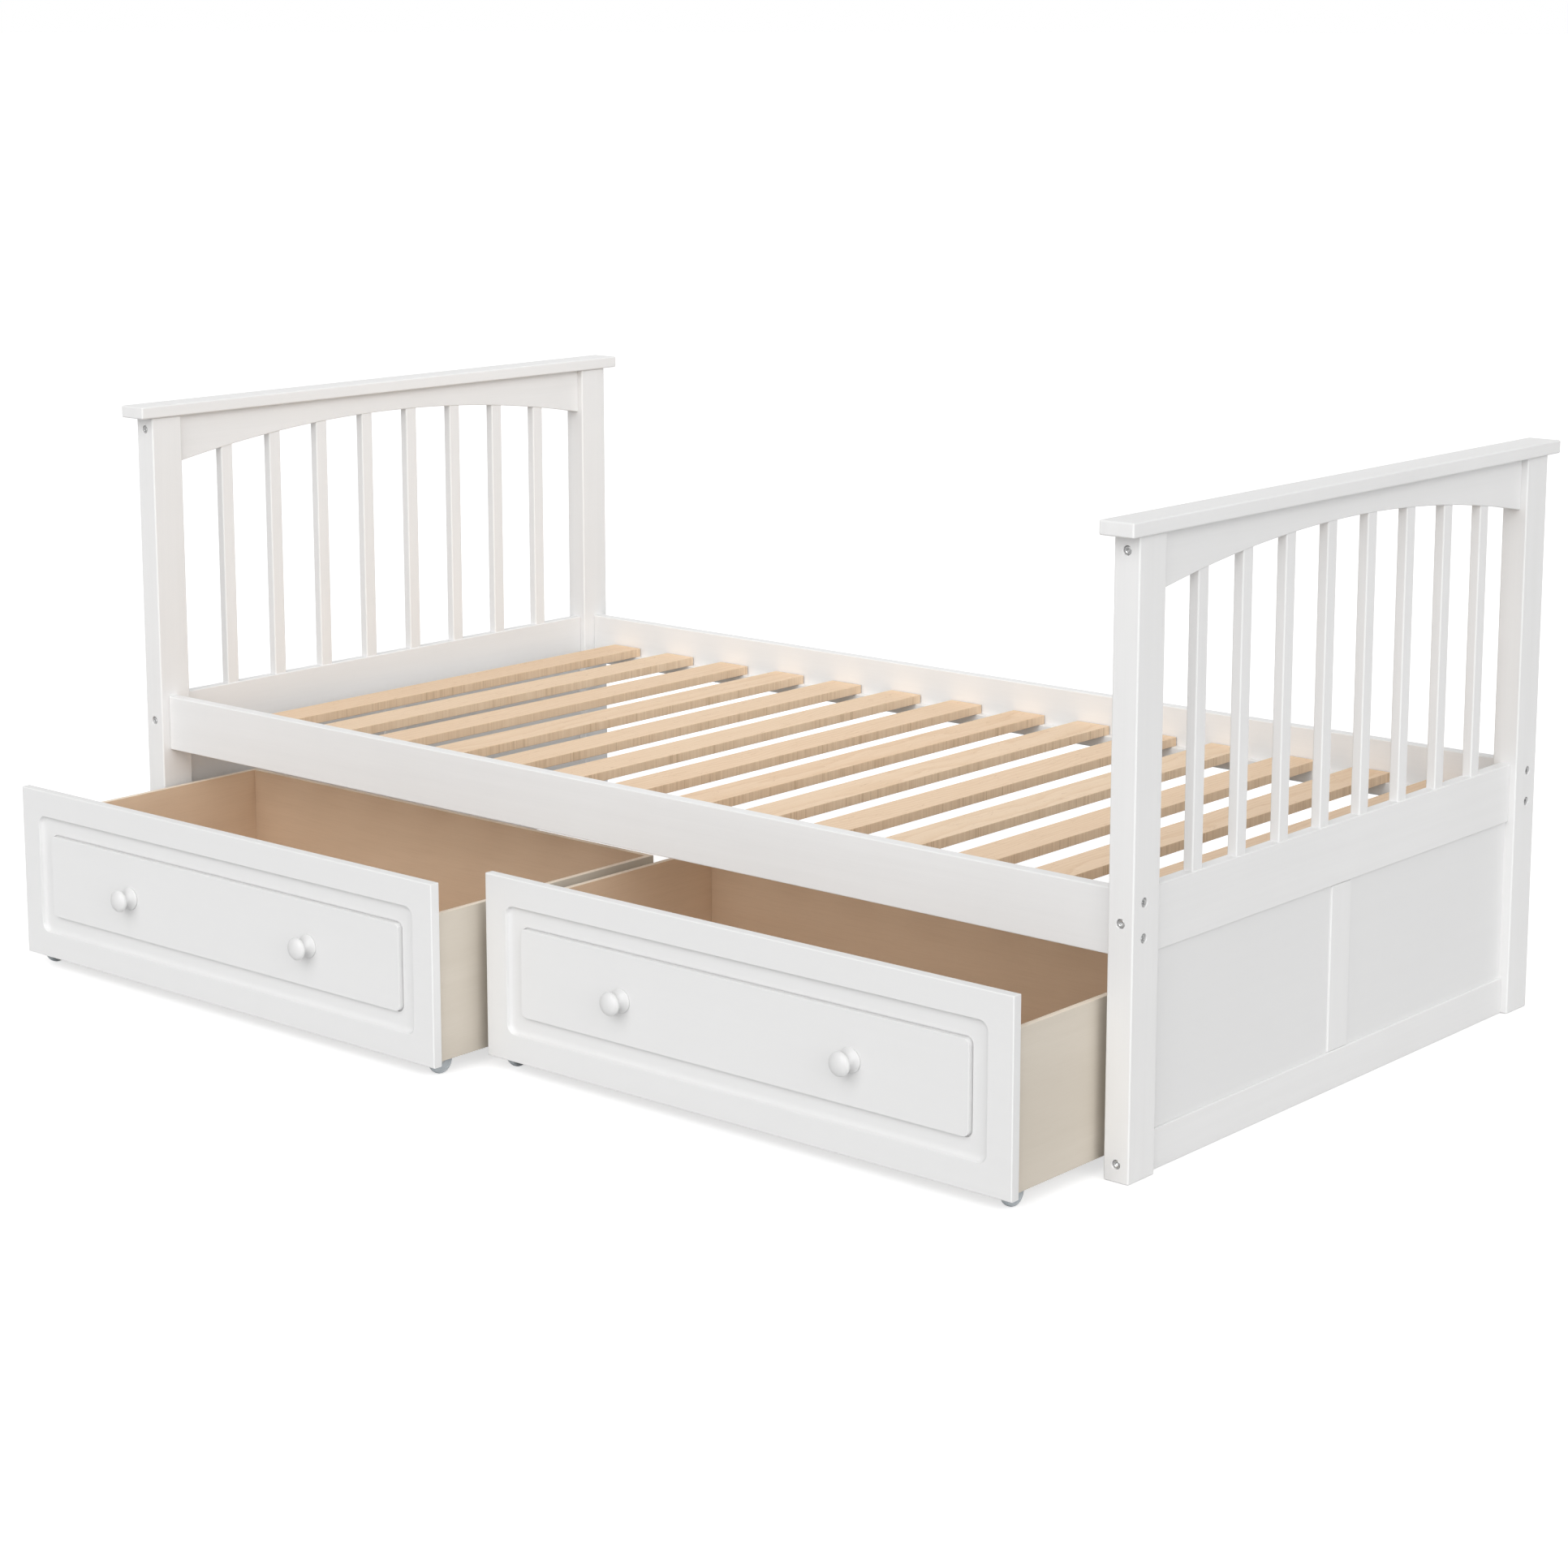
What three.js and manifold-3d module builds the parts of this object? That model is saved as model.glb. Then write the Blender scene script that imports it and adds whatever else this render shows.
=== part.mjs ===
// A single bed frame in painted wood: a headboard and a footboard alike, two side rails, fourteen slats,
// and two drawers on castors under the front side. Millimetres, +Z up, floor at z = 0.
// +X runs from the headboard to the footboard, and -Y is the side that the drawers open to.
import * as THREE from 'three';
import { mergeVertices } from 'three/addons/utils/BufferGeometryUtils.js';
import Module from 'manifold-3d';

const wasm = await Module();
wasm.setup();

// ---- driving dimensions ----

const bed = { length: 2000, width: 1071 };
const post = { thick: 40, wide: 60, tall: 860 };
const cap = { thick: 20, overX: 7, overY: 25.5 };
const endRail = { thick: 19, middleLow: 302, middleHigh: 392, bottomHigh: 57 };
const arch = { endLow: 781, rise: 44, steps: 24 };
const spindle = { thick: 15.5, wide: 24, count: 8, tenon: 12 };
const panel = { thick: 10, stileWide: 52, gap: 1.2 };
const sideRail = { thick: 20, low: 302, high: 392, recess: 15 };
const ledger = { wide: 15, high: 328, low: 308, endGap: 25 };
const slat = { count: 14, pitch: 134, wide: 66, thick: 15, endGap: 1.5 };
const drawer = {
  frontLong: 950, frontLow: 20, frontHigh: 293, frontThick: 16,
  gapBetween: 10, sideInset: 10.5, sideThick: 9, sideLow: 23, sideHigh: 243, sideLong: 460,
  bottomLow: 43.5, bottomThick: 5, backThick: 10,
};
const groove = { inset: 41, wide: 31, deep: 7, outerSlope: 3, innerSlope: 1.5, corner: 6, fieldCorner: 7 };
const knob = {
  apart: 416, high: 154, flange: 18, flangeThick: 2, neck: 7.5, neckFrom: 11, neckTo: 17,
  headFrom: 18.5, head: 17.7, headWidest: 23.5, long: 31,
};
const wheel = { radius: 20, thick: 12, bore: 4.3, sideGap: 0.8 };
const bracket = { thick: 2.5, wide: 34, deep: 40, legHalf: 9, axle: 4, axleStand: 0.4, wheelGap: 0.7 };
const castor = { fromFront: 20.5, fromBack: 31 };

// How far each drawer's front stands out from its shut place, which is level with the side rail's face.
const leftDrawerOut = 306.5;
const rightDrawerOut = 209;

// ---- what follows from them ----

const endX = bed.length / 2;
const sideY = bed.width / 2;
const postInsideX = endX - post.thick;
const postInsideY = sideY - post.wide;
const endRailX = endX - post.thick / 2;
const endRailLong = 2 * postInsideY;
const sideRailFace = sideY - sideRail.recess;
const sideRailInside = sideRailFace - sideRail.thick;
const shutFace = -sideRailFace;
const leftFace = shutFace - leftDrawerOut;
const rightFace = shutFace - rightDrawerOut;
const drawerCentreX = (drawer.frontLong + drawer.gapBetween) / 2;

// The origin is the centre of the whole footprint, knobs and caps included.
const reachFront = leftFace - knob.long;
const reachBack = sideY + cap.overY;
const originY = (reachFront + reachBack) / 2;

// ---- materials ----

const paint = new THREE.MeshStandardMaterial({ color: 0xe9e8e6, roughness: 0.42, metalness: 0 });
const pine = new THREE.MeshStandardMaterial({ color: 0xe8cda9, roughness: 0.62, metalness: 0 });
const board = new THREE.MeshStandardMaterial({ color: 0xcdb899, roughness: 0.66, metalness: 0 });
const tyre = new THREE.MeshStandardMaterial({ color: 0x9aa1a6, roughness: 0.48, metalness: 0 });
const steel = new THREE.MeshStandardMaterial({ color: 0xb4b6b8, roughness: 0.35, metalness: 0.9 });

// ---- helpers ----

const bedGroup = new THREE.Group();
bedGroup.position.y = -originY;

function addPart(parent, name, geometry, material, x = 0, y = 0, z = 0) {
  const mesh = new THREE.Mesh(geometry, material);
  mesh.name = name;
  mesh.position.set(x, y, z);
  parent.add(mesh);
  return mesh;
}

// A plain board given by its lowest and highest corner.
function boardBetween(low, high) {
  const size = high.map((value, i) => value - low[i]);
  const geometry = new THREE.BoxGeometry(...size);
  geometry.translate(...low.map((value, i) => value + size[i] / 2));
  return geometry;
}

function toSolid(geometry) {
  const bare = geometry.clone();
  bare.deleteAttribute('normal');
  bare.deleteAttribute('uv');
  const merged = mergeVertices(bare, 1e-4);
  return new wasm.Manifold(new wasm.Mesh({
    numProp: 3,
    vertProperties: merged.attributes.position.array,
    triVerts: new Uint32Array(merged.index.array),
  }));
}

function toGeometry(solid) {
  const mesh = solid.getMesh();
  const geometry = new THREE.BufferGeometry();
  geometry.setAttribute('position', new THREE.BufferAttribute(mesh.vertProperties, 3));
  geometry.setIndex(new THREE.BufferAttribute(mesh.triVerts, 1));
  geometry.computeVertexNormals();
  return geometry;
}

function joined(geometries) {
  const solids = geometries.map(toSolid);
  return toGeometry(solids.reduce((all, next) => all.add(next)));
}

// A shape drawn in (Y, Z) and given a thickness along X, centred on x = 0.
function extrudedAlongX(shape, thick) {
  const geometry = new THREE.ExtrudeGeometry(shape, { depth: thick, bevelEnabled: false });
  geometry.translate(0, 0, -thick / 2);
  geometry.rotateX(Math.PI / 2);
  geometry.rotateZ(Math.PI / 2);
  return geometry;
}

function roundedRectangle(wide, tall, radius) {
  const x = wide / 2;
  const y = tall / 2;
  const shape = new THREE.Shape();
  shape.moveTo(-x + radius, -y);
  shape.lineTo(x - radius, -y);
  shape.absarc(x - radius, -y + radius, radius, -Math.PI / 2, 0, false);
  shape.lineTo(x, y - radius);
  shape.absarc(x - radius, y - radius, radius, 0, Math.PI / 2, false);
  shape.lineTo(-x + radius, y);
  shape.absarc(-x + radius, y - radius, radius, Math.PI / 2, Math.PI, false);
  shape.lineTo(-x, -y + radius);
  shape.absarc(-x + radius, -y + radius, radius, Math.PI, 1.5 * Math.PI, false);
  return shape;
}

// A plate in (X, Z) whose walls lean: wide x tall around y = middle, and smaller by lean on each side
// at y = middle + reach and at y = middle - reach.
function leaningPlate(wide, tall, radius, middle, reach, lean) {
  const core = 0.3;
  const geometry = new THREE.ExtrudeGeometry(roundedRectangle(wide - 2 * lean, tall - 2 * lean, radius), {
    depth: core, bevelThickness: reach - core / 2, bevelSize: lean, bevelSegments: 1, curveSegments: 4,
  });
  geometry.translate(0, 0, -core / 2);
  geometry.rotateX(Math.PI / 2);
  geometry.translate(0, middle, 0);
  return geometry;
}

// ---- headboard and footboard ----

// The top rail: straight on top, a circular arc underneath.
function archShape() {
  const half = postInsideY;
  const radius = (half * half + arch.rise * arch.rise) / (2 * arch.rise);
  const centreZ = arch.endLow + arch.rise - radius;
  const halfAngle = Math.asin(half / radius);
  const shape = new THREE.Shape();
  shape.moveTo(half, arch.endLow);
  shape.lineTo(half, post.tall);
  shape.lineTo(-half, post.tall);
  shape.lineTo(-half, arch.endLow);
  for (let i = 1; i < arch.steps; i += 1) {
    const angle = -halfAngle + (2 * halfAngle * i) / arch.steps;
    shape.lineTo(radius * Math.sin(angle), centreZ + radius * Math.cos(angle));
  }
  return { shape, undersideAt: (y) => centreZ + Math.sqrt(radius * radius - y * y) };
}

function archWithSpindles() {
  const { shape, undersideAt } = archShape();
  const pieces = [extrudedAlongX(shape, endRail.thick)];
  const pitch = endRailLong / (spindle.count + 1);
  for (let i = 1; i <= spindle.count; i += 1) {
    const y = -postInsideY + pitch * i;
    pieces.push(boardBetween(
      [-spindle.thick / 2, y - spindle.wide / 2, endRail.middleHigh],
      [spindle.thick / 2, y + spindle.wide / 2, undersideAt(y) + spindle.tenon],
    ));
  }
  return joined(pieces);
}

function panelWithStile() {
  const low = endRail.bottomHigh;
  const high = endRail.middleLow;
  return joined([
    boardBetween([-panel.thick / 2, -postInsideY, low], [panel.thick / 2, postInsideY, high]),
    boardBetween(
      [-endRail.thick / 2, -panel.stileWide / 2, low],
      [endRail.thick / 2, panel.stileWide / 2, high - panel.gap],
    ),
  ]);
}

function addBedEnd(name, side) {
  const end = new THREE.Group();
  end.position.x = side * endRailX;
  bedGroup.add(end);
  const halfThick = endRail.thick / 2;
  for (const [place, sign] of [['front', -1], ['rear', 1]]) {
    const y = sign * (sideY - post.wide / 2);
    const leg = new THREE.BoxGeometry(post.thick, post.wide, post.tall);
    addPart(end, `${name}_${place}_post`, leg, paint, 0, y, post.tall / 2);
  }
  const capBoard = new THREE.BoxGeometry(post.thick + 2 * cap.overX, bed.width + 2 * cap.overY, cap.thick);
  addPart(end, `${name}_cap`, capBoard, paint, 0, 0, post.tall + cap.thick / 2);
  addPart(end, `${name}_arch_and_spindles`, archWithSpindles(), paint);
  addPart(end, `${name}_middle_rail`, boardBetween(
    [-halfThick, -postInsideY, endRail.middleLow], [halfThick, postInsideY, endRail.middleHigh],
  ), paint);
  addPart(end, `${name}_bottom_rail`, boardBetween(
    [-halfThick, -postInsideY, 0], [halfThick, postInsideY, endRail.bottomHigh],
  ), paint);
  addPart(end, `${name}_panel`, panelWithStile(), paint);
}

// ---- side rails and slats ----

function addSideRail(name, side) {
  const rail = boardBetween(
    [-postInsideX, sideRailInside, sideRail.low], [postInsideX, sideRailFace, sideRail.high],
  );
  const ledgerEnd = postInsideX - ledger.endGap;
  const strip = boardBetween(
    [-ledgerEnd, sideRailInside - ledger.wide, ledger.low], [ledgerEnd, sideRailInside, ledger.high],
  );
  const mesh = addPart(bedGroup, name, joined([rail, strip]), paint);
  mesh.rotation.z = side > 0 ? 0 : Math.PI;
}

function addSlats() {
  const long = 2 * (sideRailInside - slat.endGap);
  for (let i = 0; i < slat.count; i += 1) {
    const x = (i - (slat.count - 1) / 2) * slat.pitch;
    const plank = new THREE.BoxGeometry(slat.wide, long, slat.thick);
    const name = `slat_${String(i + 1).padStart(2, '0')}`;
    addPart(bedGroup, name, plank, pine, x, 0, ledger.high + slat.thick / 2);
  }
}

// ---- drawers: modelled with the front's outer face at y = 0 and the middle of the front at x = 0 ----

const boxHalf = drawer.frontLong / 2 - drawer.sideInset;
const boxInside = boxHalf - drawer.sideThick;
const boxBack = drawer.frontThick + drawer.sideLong;
const backInside = boxBack - drawer.backThick;

// A board with a flat-bottomed groove routed around a raised field.
function drawerFront() {
  const tall = drawer.frontHigh - drawer.frontLow;
  const middle = (drawer.frontHigh + drawer.frontLow) / 2;
  const blank = toSolid(new THREE.BoxGeometry(drawer.frontLong, drawer.frontThick, tall)
    .translate(0, drawer.frontThick / 2, 0));
  const outerLong = drawer.frontLong - 2 * groove.inset;
  const outerTall = tall - 2 * groove.inset;
  const fieldLong = outerLong - 2 * (groove.wide - groove.innerSlope);
  const fieldTall = outerTall - 2 * (groove.wide - groove.innerSlope);
  const { deep, corner, fieldCorner, outerSlope, innerSlope } = groove;
  const pocket = toSolid(leaningPlate(outerLong, outerTall, corner, 0, deep, outerSlope));
  const field = toSolid(leaningPlate(fieldLong, fieldTall, fieldCorner, deep, 2 * deep, 2 * innerSlope));
  return toGeometry(blank.subtract(pocket.subtract(field))).translate(0, 0, middle);
}

// A turned knob, its flange on y = 0 and its head towards -Y.
function knobBody() {
  const { flange, neck, head, long } = knob;
  const outline = new THREE.Path();
  outline.moveTo(0, 0);
  outline.lineTo(flange, 0);
  outline.lineTo(flange, knob.flangeThick);
  outline.quadraticCurveTo(neck, knob.flangeThick, neck, knob.neckFrom);
  outline.lineTo(neck, knob.neckTo);
  outline.quadraticCurveTo(head, knob.headFrom, head, knob.headWidest);
  outline.bezierCurveTo(head, (knob.headWidest + 2 * long) / 3, head / 2, long, 0, long);
  return new THREE.LatheGeometry(outline.getPoints(3), 16).rotateX(Math.PI);
}

// A disc wheel turning about X, with rounded rims and a through bore.
function wheelBody() {
  const { radius, thick, bore } = wheel;
  const half = thick / 2;
  const rim = 4;
  const outline = new THREE.Path();
  outline.moveTo(bore, -half);
  outline.lineTo(radius - rim, -half);
  outline.absarc(radius - rim, -half + rim, rim, -Math.PI / 2, 0, false);
  outline.lineTo(radius, half - rim);
  outline.absarc(radius - rim, half - rim, rim, 0, Math.PI / 2, false);
  outline.lineTo(bore, half);
  outline.lineTo(bore, -half);
  return new THREE.LatheGeometry(outline.getPoints(2), 24).rotateZ(-Math.PI / 2);
}

// The wheel's bracket for a wheel near the +X side: a plate under the drawer bottom, a leg on the
// inboard side of the wheel, and the axle standing out of the leg. The axle's centre is the origin.
function bracketBody(side) {
  const legX = -wheel.thick / 2 - bracket.wheelGap;
  const plateLow = drawer.bottomLow - bracket.thick - wheel.radius;
  const plateHigh = plateLow + bracket.thick;
  const halfDeep = bracket.deep / 2;
  const outer = wheel.thick / 2;
  const plate = boardBetween([outer - bracket.wide, -halfDeep, plateLow], [outer, halfDeep, plateHigh]);
  const leg = boardBetween(
    [legX - bracket.thick, -bracket.legHalf, -bracket.legHalf],
    [legX, bracket.legHalf, plateLow + bracket.thick / 2],
  );
  const axleStart = legX - bracket.thick / 2;
  const axleLong = outer + bracket.axleStand - axleStart;
  const axle = new THREE.CylinderGeometry(bracket.axle, bracket.axle, axleLong, 16)
    .rotateZ(Math.PI / 2)
    .translate(axleStart + axleLong / 2, 0, 0);
  return joined([plate, leg, axle]).rotateZ(side > 0 ? 0 : Math.PI);
}

function addCastor(parent, name, side, y) {
  const x = side * (boxInside - wheel.sideGap - wheel.thick / 2);
  addPart(parent, `${name}_bracket`, bracketBody(side), steel, x, y, wheel.radius);
  addPart(parent, `${name}_wheel`, wheelBody(), tyre, x, y, wheel.radius);
}

function addDrawer(name, centreX, face) {
  const body = new THREE.Group();
  body.position.set(centreX, face, 0);
  bedGroup.add(body);
  const backOfFront = drawer.frontThick;
  addPart(body, `${name}_front`, drawerFront(), paint);
  for (const [place, side] of [['left', -1], ['right', 1]]) {
    const wall = new THREE.BoxGeometry(drawer.sideThick, drawer.sideLong, drawer.sideHigh - drawer.sideLow);
    const x = side * (boxHalf - drawer.sideThick / 2);
    const z = (drawer.sideHigh + drawer.sideLow) / 2;
    addPart(body, `${name}_${place}_side`, wall, board, x, backOfFront + drawer.sideLong / 2, z);
  }
  addPart(body, `${name}_back`, boardBetween(
    [-boxInside, backInside, drawer.sideLow], [boxInside, boxBack, drawer.sideHigh],
  ), board);
  addPart(body, `${name}_bottom`, boardBetween(
    [-boxInside, backOfFront, drawer.bottomLow],
    [boxInside, backInside, drawer.bottomLow + drawer.bottomThick],
  ), board);
  for (const [place, side] of [['left', -1], ['right', 1]]) {
    addPart(body, `${name}_${place}_knob`, knobBody(), paint, side * knob.apart / 2, 0, knob.high);
    addCastor(body, `${name}_front_${place}`, side, backOfFront + castor.fromFront);
    addCastor(body, `${name}_rear_${place}`, side, boxBack - castor.fromBack);
  }
}

// ---- the whole bed ----

addBedEnd('headboard', -1);
addBedEnd('footboard', 1);
addSideRail('front_side_rail', -1);
addSideRail('rear_side_rail', 1);
addSlats();
addDrawer('left_drawer', -drawerCentreX, leftFace);
addDrawer('right_drawer', drawerCentreX, rightFace);

export default bedGroup;
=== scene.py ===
import math
import random

import bmesh
import bpy
from mathutils import Matrix, Vector


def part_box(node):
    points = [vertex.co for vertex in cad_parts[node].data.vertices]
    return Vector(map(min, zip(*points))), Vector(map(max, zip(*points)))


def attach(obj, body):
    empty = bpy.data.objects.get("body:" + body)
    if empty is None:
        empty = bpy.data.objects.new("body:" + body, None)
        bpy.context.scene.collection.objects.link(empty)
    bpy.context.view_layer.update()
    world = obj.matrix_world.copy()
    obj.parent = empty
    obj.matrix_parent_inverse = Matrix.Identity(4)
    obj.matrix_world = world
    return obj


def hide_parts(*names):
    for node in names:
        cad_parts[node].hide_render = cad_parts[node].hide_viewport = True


# A single bed frame in painted wood with pine slats and two drawers on castors, in metres, +Z up.
# Every place is worked out from the boxes of the CAD nodes.

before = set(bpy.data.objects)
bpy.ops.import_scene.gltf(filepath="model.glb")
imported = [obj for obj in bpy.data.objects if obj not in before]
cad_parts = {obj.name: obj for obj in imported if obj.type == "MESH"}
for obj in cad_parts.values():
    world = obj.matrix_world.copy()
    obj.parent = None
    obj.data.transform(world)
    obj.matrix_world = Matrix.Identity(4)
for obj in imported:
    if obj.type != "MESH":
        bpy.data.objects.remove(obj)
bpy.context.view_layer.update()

# ---- driving dimensions: lengths in metres, angles in degrees ----

MM = 0.001
X, Y, Z = 0, 1, 2
SEED = 7
EASE = {"post": 2.5 * MM, "rail": 1.8 * MM, "spindle": 2.2 * MM, "cap": 2.6 * MM, "slat": 0.9 * MM,
        "ply": 0.7 * MM, "panel": 0.6 * MM, "pressed": 0.4 * MM}
EASE_STEPS = 4
ARC_STEPS = 72
CORNER_STEPS = 8
PLATE_STEPS = 5
FACETS = {"bolt": 48, "screw": 36, "knob": 64, "wheel": 72, "axle": 40}
SHARP = {"outline": 40, "board": 35, "front": 45, "wheel": 40, "knob": 50}
WELD = 0.001 * MM
SQUARE_ON = 0.7

# The bed's ends and rails.
TENON = 6 * MM
ARCH = {"end_low": 781 * MM, "rise": 44 * MM}
SPINDLE = {"thick": 15.5 * MM, "wide": 24 * MM, "count": 8}
PANEL = {"thick": 10 * MM, "stile_wide": 52 * MM, "stile_thick": 15 * MM, "stile_gap": 1.2 * MM}
RAIL_THICK = 20 * MM
LEDGER = {"high": 328 * MM, "low": 308 * MM, "end_gap": 25 * MM}

# The drawer front: its outer edge, then the groove from its lip over the brow and the cove to the quirk.
# quirk_slope is a share of quirk.
FRONT = {
    "ease": 1.6 * MM, "ease_from": 60, "board_corner": 0.4 * MM,
    "inset": 41 * MM, "wide": 31 * MM, "deep": 7 * MM, "wall": 1.2 * MM,
    "corner": 14 * MM, "least_corner": 1 * MM, "field_corner": 9 * MM,
    "lip": 0.7 * MM, "lip_pull": (0.2 * MM, 0.1 * MM), "brow": (0.5 * MM, 1.2 * MM),
    "cove": 10 * MM, "cove_pull": 1 * MM,
    "quirk": 2.2 * MM, "quirk_slope": 0.8, "quirk_deep": 2.8 * MM, "crisp": 0.7 * MM,
}
# The knob: at and pull values without a unit are shares of its length, and flare is shares of (neck, flange).
KNOB = {
    "long": 31 * MM, "flange": 18 * MM, "rim": 1.4 * MM, "rim_to": 60, "neck": 7.5 * MM,
    "flare": (0.62, 0.2), "flare_at": 0.2, "waist_at": 0.42, "waist_pull": 0.47,
    "head": 17.2 * MM, "head_at": 22.5 * MM, "head_half": 8.5 * MM, "head_from": -58,
}
# The post bolts: flat and round are shares of the head's radius, round_deep is a share of its dome, and
# funnel is shares of the socket's radius.
BOLT = {
    "bore": 6.5 * MM, "mouth": 7.0 * MM, "mouth_deep": 0.5 * MM, "deep": 6 * MM, "clear": 2 * MM,
    "head": 5.6 * MM, "sunk": 1.5 * MM, "dome": 1.2 * MM, "flat": 0.8, "round": 0.99, "round_deep": 0.1,
    "socket": 3.0 * MM, "socket_deep": 3.2 * MM, "point": 0.5 * MM,
    "funnel": (1.32, 1.16), "funnel_deep": 0.25 * MM, "hexagon_deep": 0.6 * MM,
}
SIDE_BOLTS = (840 * MM, 351 * MM, 25 * MM)
END_BOLTS = (378 * MM, 330 * MM)
END_BOLT_INSET = 25 * MM
# Wall is a share of the screw head's height, round and flat are shares of its radius.
SCREW = {"head": 3.6 * MM, "tall": 1.9 * MM, "wall": 0.3, "round": 0.96, "flat": 0.5,
         "slot": 1.5 * MM, "slot_deep": 1.1 * MM, "point": 0.3 * MM}

# The castors. A wheel's back values are how far each face lies inside its width, and shoulder_wide and
# shoulder_deep are multiples of shoulder.
WHEEL = {
    "bore": 4.3 * MM, "boss": 7.2 * MM, "boss_back": 0.4 * MM, "boss_round": 0.5 * MM, "boss_slope": 0.2 * MM,
    "boss_foot": 1 * MM, "web": 8.4 * MM, "web_deep": 1.1 * MM,
    "rim": 15.4 * MM, "rim_back": 0.2 * MM, "rim_round": 1 * MM, "rim_slope": 0.4 * MM,
    "shoulder": 1.6 * MM, "shoulder_wide": 2, "shoulder_deep": 1.4, "crown": 0.8 * MM, "bulge": 0.1 * MM,
}
BRACKET = {"thick": 2.5 * MM, "corner": 4 * MM, "gap": 0.7 * MM, "leg_half": 9 * MM, "leg_top_half": 14 * MM,
           "leg_from": 190, "leg_to": 350, "screw_across": 13 * MM, "screw_along": 12 * MM}
AXLE = {"pin": 4 * MM, "head": 5.6 * MM, "head_tall": 0.8 * MM, "head_flat": 3.2 * MM, "head_pull": 5.4 * MM,
        "stand": 0.4 * MM, "round": 0.6 * MM, "end_flat": 3 * MM, "dimple": 1.2 * MM, "dimple_deep": 0.5 * MM}

# ---- looks: noise scales are per metre, and a pair of them is (along the grain, across it) ----

BOARD_SHIFT = (31.0, 17.0, 23.0)
PAINT_LIGHT = (0.838, 0.836, 0.833, 1)
PAINT_SHADE = (0.800, 0.797, 0.793, 1)
# The lacquer of the fibreboard panels and drawer fronts is a little darker than the paint: partly its own
# tone, partly painted shade for the recessed end panels.
DIMMED_LACQUER_LIGHT = (0.788, 0.787, 0.785, 1)
DIMMED_LACQUER_SHADE = (0.777, 0.776, 0.774, 1)
# The knobs are darker than the lacquer of the fronts they stand on: painted shade that holds down their
# highlight.
DIMMED_KNOB_LIGHT = (0.735, 0.734, 0.732, 1)
DIMMED_KNOB_SHADE = (0.722, 0.721, 0.719, 1)
# The colour that the arrises are lightened towards: a painted highlight.
PAINT_HIGHLIGHT = (0.848, 0.846, 0.843, 1)
BOARD_GRAIN = 1.0
SPRAYED_GRAIN = 0.2
PAINT = {
    "cloud": {"scale": 3.1},
    "fibre": {"scale": (7.0, 420.0), "detail": 5.0, "rough": 0.62},
    "streak": {"scale": (1.6, 60.0)},
    "peel": {"scale": 900.0, "detail": 2.0, "rough": 0.5},
    "cloud_share": 0.45, "streak_share": 0.35, "fibre_share": 0.25, "body_range": (0.36, 0.68),
    "arris": 2.2 * MM, "arris_highlight_range": (0.35, 0.65, 0.7, 1.0), "gloss_range": (0.7, 1.35, 0.36, 0.50),
    "fibre_strength": 0.12, "fibre_distance": 0.08 * MM,
    "peel_relief": {"strength": 0.08, "distance": 0.05 * MM},
}
# The pine's growth rings. flame_deep is a multiple of pitch.
RINGS = {
    "pitch": 7.5 * MM, "sway": 0.16, "pith": 0.02,
    "wander": {"scale": 1.0, "detail": 2.0}, "wander_along": 1.7,
    "flame": {"scale": (5.0, 26.0)}, "flame_deep": 1.7,
}
SLAT = {
    "face": [(0.0, (0.86, 0.665, 0.475, 1)), (0.55, (0.845, 0.645, 0.45, 1)), (0.86, (0.79, 0.575, 0.375, 1)),
             (0.95, (0.735, 0.51, 0.315, 1)), (1.0, (0.855, 0.66, 0.47, 1))],
    "sawn": [(0.35, (0.57, 0.41, 0.265, 1)), (0.45, (0.71, 0.54, 0.375, 1)), (0.62, (0.79, 0.625, 0.455, 1))],
    "end": [(0.0, (0.50, 0.33, 0.19, 1)), (0.8, (0.42, 0.26, 0.14, 1)), (1.0, (0.34, 0.20, 0.10, 1))],
    "wash": 0.38, "wash_colour": (0.90, 0.71, 0.52, 1),
    "fibre": {"scale": (14.0, 700.0), "detail": 5.0, "rough": 0.6},
    "fibre_tint": {"low": 0.42, "high": 0.75, "amount": 0.42, "tint": (0.70, 0.49, 0.31, 1)},
    "mottle": {"scale": (45.0, 90.0), "detail": 4.0, "rough": 0.6, "twist": 1.2},
    "mottle_tint": {"low": 0.52, "high": 0.78, "amount": 0.34, "tint": (0.77, 0.565, 0.37, 1)},
    "vein": {"scale": (9.0, 34.0), "detail": 2.0, "rough": 0.5, "twist": 2.4},
    "vein_at": 0.60, "vein_range": (0.0, 0.010, 0.58, 0.0), "vein_colour": (0.60, 0.40, 0.24, 1),
    "stripe": {"scale": (240.0, 7.0), "detail": 4.0, "rough": 0.7},
    "broad": {"scale": (22.0, 3.0), "detail": 2.0},
    "stripe_share": 0.72, "broad_share": 0.28, "side_range": (0.6, 0.8),
    "tone_range": (0.0, 1.0, 0.0, 0.16), "tone_colour": (0.80, 0.56, 0.36, 1),
    "gloss_range": (0.3, 0.7, 0.52, 0.68),
    "fibre_relief": {"strength": 0.35, "distance": 0.16 * MM},
    "stripe_relief": {"strength": 0.18, "distance": 0.12 * MM},
}
PLY = {
    "figure": {"scale": (1.5, 13.0), "detail": 4.0, "twist": 0.8}, "figure_range": (0.36, 0.66),
    "fibre": {"scale": (16.0, 520.0), "detail": 5.0, "rough": 0.6}, "fibre_range": (0.46, 0.78),
    "pore": {"scale": (90.0, 1500.0), "detail": 2.0, "rough": 0.5}, "pore_range": (0.66, 0.76),
    "gloss_range": (0.3, 0.7, 0.50, 0.66), "relief": {"strength": 0.25, "distance": 0.10 * MM},
}
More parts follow.
